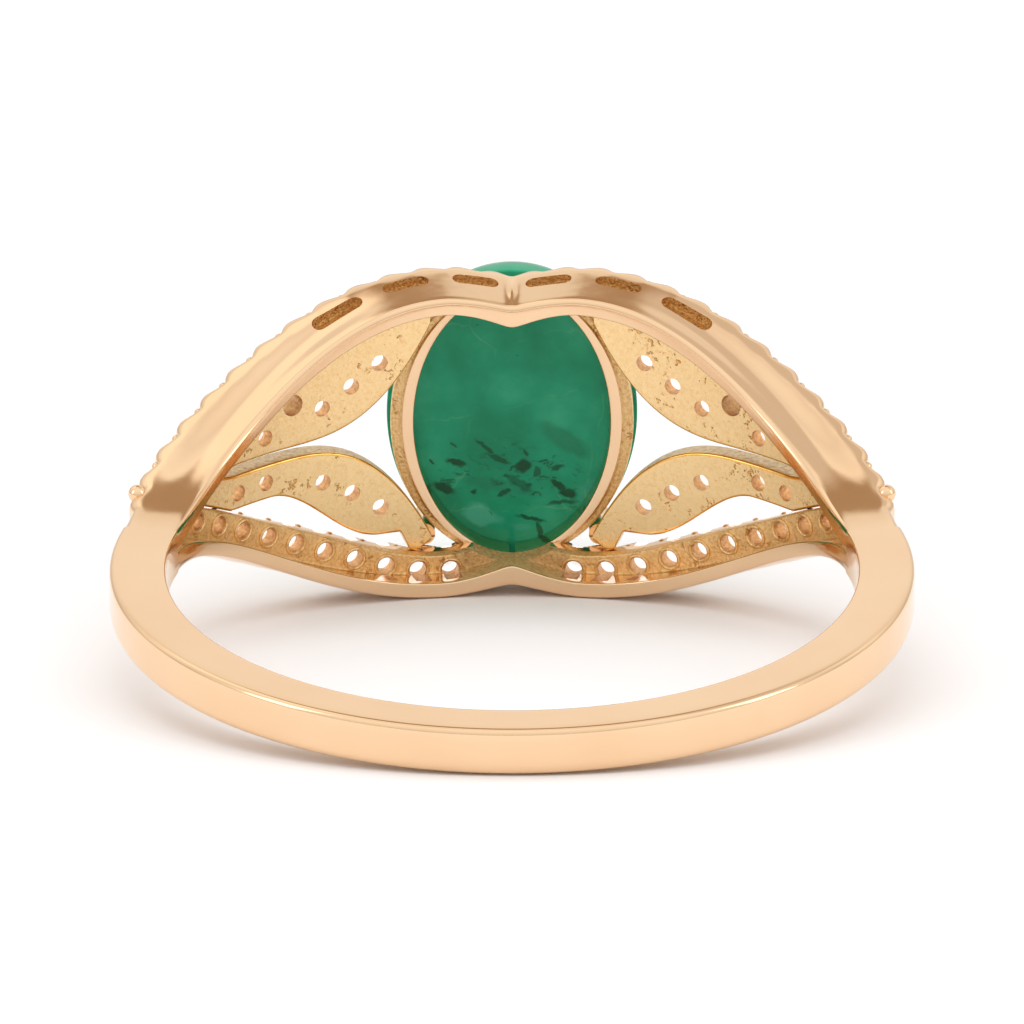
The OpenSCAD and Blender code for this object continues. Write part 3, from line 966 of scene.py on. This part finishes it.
def dome_point(lift, out):
    """A point above the dome at the claw's angle: lift is the angle up the dome, out the distance."""
    normal = np.array([
        math.cos(lift) * math.cos(CLAW_ANGLE) / STONE_OVAL[0],
        math.sin(lift) / (DOME_TOP_Y - GIRDLE_Y),
        math.cos(lift) * math.sin(CLAW_ANGLE) / STONE_OVAL[1],
    ])
    surface = np.array([
        STONE_OVAL[0] * math.cos(CLAW_ANGLE) * math.cos(lift),
        GIRDLE_Y + (DOME_TOP_Y - GIRDLE_Y) * math.sin(lift),
        STONE_OVAL[1] * math.sin(CLAW_ANGLE) * math.cos(lift),
    ])
    return surface + normal / np.linalg.norm(normal) * out


def claw():
    reach = CLAW_D / 2
    bend = dome_point(math.radians(4), reach)
    path = [(bend[0], y, bend[2]) for y in (SEAT_Y + 0.3, GIRDLE_Y - 0.1)]
    path += [
        dome_point(math.radians(a), reach * k) for a, k in ((5, 1.0), (11, 0.98), (17, 0.9), (22, 0.8))
    ]
    path = np.array(path)
    dense = []
    for i in range(len(path) - 1):
        p0, p1 = path[max(0, i - 1)], path[i]
        p2, p3 = path[i + 1], path[min(len(path) - 1, i + 2)]
        for t in np.linspace(0, 1, 8, endpoint=False):
            dense.append(0.5 * (2 * p1 + (p2 - p0) * t + (2 * p0 - 5 * p1 + 4 * p2 - p3) * t ** 2
                                + (3 * p1 - p0 - 3 * p2 + p3) * t ** 3))
    dense.append(path[-1])
    dense = np.array(dense)
    rings = []
    around = np.arange(24) * 2 * math.pi / 24
    side = np.array([math.sin(CLAW_ANGLE), 0, -math.cos(CLAW_ANGLE)])
    last = len(dense) - 1
    tangent = dense[-1] - dense[-2]
    tangent /= np.linalg.norm(tangent)
    spots = [(p, CLAW_D / 2 * (1 - 0.12 * i / last)) for i, p in enumerate(dense)]
    tip_r = spots[-1][1]
    for a in np.radians([20, 40, 60, 78]):
        spots.append((dense[-1] + tangent * tip_r * math.sin(a), tip_r * math.cos(a)))
    for i, (p, r) in enumerate(spots):
        ahead = spots[min(i + 1, len(spots) - 1)][0] - spots[max(0, i - 1)][0]
        ahead = ahead / np.linalg.norm(ahead)
        up = np.cross(side, ahead)
        rings.append([p + r * (math.cos(a) * side + math.sin(a) * up) for a in around])
    in_quarters("claw", skin(rings), [POLISHED], "polished_gold")


# ---- Setting: camera, floor, light ----

def camera():
    """The ring seen from behind, from above its middle plane, with a long lens."""
    elevation = math.radians(23.6)
    distance = 180 * MM
    target = Vector((0, 4.278, 0)) * MM
    look = Vector((0, math.cos(elevation), -math.sin(elevation)))
    data = bpy.data.cameras.new("camera")
    data.sensor_width = 36
    data.lens = 259.8
    data.clip_start = 0.01
    data.clip_end = 10
    obj = bpy.data.objects.new("camera", data)
    bpy.context.scene.collection.objects.link(obj)
    obj.location = target - look * distance
    obj.rotation_mode = "QUATERNION"
    obj.rotation_quaternion = look.to_track_quat("-Z", "Y")
    bpy.context.scene.camera = obj


def floor():
    """Under the band's lower edge and the lower rails, and falling away past the band."""
    back_y, back_z = -BACK_R, -BAND_HALF
    front_turn = PEAK_TURN + 2
    front = place(front_turn, RAIL_R, -rail_z(front_turn) - lean_z(front_turn, RAIL_R))
    slope = (front[2] - back_z) / (front[1] - back_y)

    def height(y):
        plane = back_z + slope * (y - back_y) - 0.02
        if y >= back_y - 1:
            return plane
        t = back_y - 1 - y
        crest = back_z - slope - 0.02
        return crest - slope * 8 * (1 - math.exp(-t / 8)) - max(0.0, t - 12) * 0.06

    xs = np.linspace(-600, 600, 25)
    ys = np.concatenate([np.linspace(-700, -60, 12), np.linspace(-55, -8, 48), np.linspace(-6, 900, 12)])
    verts = [(x, y, height(y)) for y in ys for x in xs]
    nx = len(xs)
    faces = [(j * nx + i, j * nx + i + 1, (j + 1) * nx + i + 1, (j + 1) * nx + i)
             for j in range(len(ys) - 1) for i in range(nx - 1)]
    material, tree, shader = new_material("floor")
    shader.inputs["Base Color"].default_value = (0.90, 0.905, 0.935, 1)
    shader.inputs["Roughness"].default_value = 0.9
    shader.inputs["Specular IOR Level"].default_value = 0.1
    obj = make("floor", (verts, faces, [0] * len(faces)), [material])


def card(tree, direction, sky, at, size, colour):
    """A soft card held up in one direction, for the gold to reflect. at and size have no unit."""
    away = node(
        tree, "ShaderNodeVectorMath", {0: direction, 1: at}, operation="SUBTRACT"
    ).outputs["Vector"]
    scaled = node(
        tree, "ShaderNodeVectorMath", {0: away, 1: size}, operation="DIVIDE"
    ).outputs["Vector"]
    far = node(tree, "ShaderNodeVectorMath", {0: scaled}, operation="LENGTH").outputs["Value"]
    inside = node(tree, "ShaderNodeMapRange", {
        "Value": far, "From Min": 1.35, "From Max": 0.75,
    }, interpolation_type="SMOOTHSTEP").outputs["Result"]
    return blend_colour(tree, inside, sky, (*colour, 1))


def light():
    world = bpy.data.worlds.new("studio")
    world.use_nodes = True
    tree = world.node_tree
    tree.nodes.clear()
    direction = node(tree, "ShaderNodeTexCoord").outputs["Generated"]
    split = node(tree, "ShaderNodeSeparateXYZ", {"Vector": direction})

    def share(axis):
        """The direction's part along one axis, from 0 to 1."""
        inputs = {"Value": split.outputs[axis], "From Min": -1.0, "From Max": 1.0}
        return node(tree, "ShaderNodeMapRange", inputs).outputs["Result"]

    by_height = ramp(tree, share("Z"), [
        (0.3, (0.90, 0.89, 0.89)), (0.52, (0.72, 0.69, 0.66)),
        (0.66, (0.96, 0.94, 0.91)), (0.9, (1.05, 1.04, 1.02)),
    ])
    by_side = ramp(tree, share("Y"), [
        (0.0, (0.92,) * 3), (0.45, (1.0,) * 3), (0.58, (0.85, 0.82, 0.80)), (0.74, (1.05, 1.04, 1.03)),
        (0.88, (0.85, 0.83, 0.80)), (0.97, (1.0,) * 3),
    ])
    sky = node(
        tree, "ShaderNodeMix", {"Factor": 1.0, "A": by_height, "B": by_side},
        data_type="RGBA", blend_type="MULTIPLY",
    ).outputs["Result"]
    sky = card(tree, direction, sky, (0.0, 0.60, 0.79), (0.36, 0.19, 0.16), (0.44, 0.32, 0.22))
    sky = card(tree, direction, sky, (0.42, 0.45, 0.79), (0.22, 0.3, 0.25), (0.70, 0.65, 0.60))
    sky = card(tree, direction, sky, (-0.42, 0.45, 0.79), (0.2, 0.3, 0.25), (1.18, 1.12, 1.03))
    sky = card(tree, direction, sky, (0.0, -0.55, -0.80), (0.9, 0.2, 0.15), (0.50, 0.40, 0.31))
    seen = node(tree, "ShaderNodeBackground", {"Color": (0.98, 0.975, 0.98, 1), "Strength": 1.0})
    lit = node(tree, "ShaderNodeBackground", {"Color": sky, "Strength": 1.05})
    path = node(tree, "ShaderNodeLightPath")
    both = node(tree, "ShaderNodeMixShader", {
        0: path.outputs["Is Camera Ray"], 1: lit.outputs["Background"], 2: seen.outputs["Background"],
    })
    node(tree, "ShaderNodeOutputWorld", {"Surface": both.outputs["Shader"]})
    bpy.context.scene.world = world

    def panel(name, place_mm, size_mm, power, colour=(1, 1, 1), glossy=True):
        data = bpy.data.lights.new(name, "AREA")
        data.shape = "RECTANGLE"
        data.size, data.size_y = size_mm[0] * MM, size_mm[1] * MM
        data.energy = power
        data.color = colour
        obj = bpy.data.objects.new(name, data)
        bpy.context.scene.collection.objects.link(obj)
        obj.visible_glossy = glossy
        obj.location = Vector(place_mm) * MM
        obj.rotation_mode = "QUATERNION"
        obj.rotation_quaternion = (-Vector(place_mm)).to_track_quat("-Z", "Y")

    panel("top", (0, 30, 260), (300, 220), 0.21, glossy=False)
    panel("left", (-190, -70, 110), (70, 130), 0.04)
    panel("right", (190, -50, 100), (60, 130), 0.035, (1.0, 0.97, 0.93))

    settings = bpy.context.scene.view_settings
    settings.view_transform = "Standard"
    settings.look = "None"


camera()
band()
rails()
leaves()
seat()
centre_stone()
small_stones()
claw()
floor()
light()
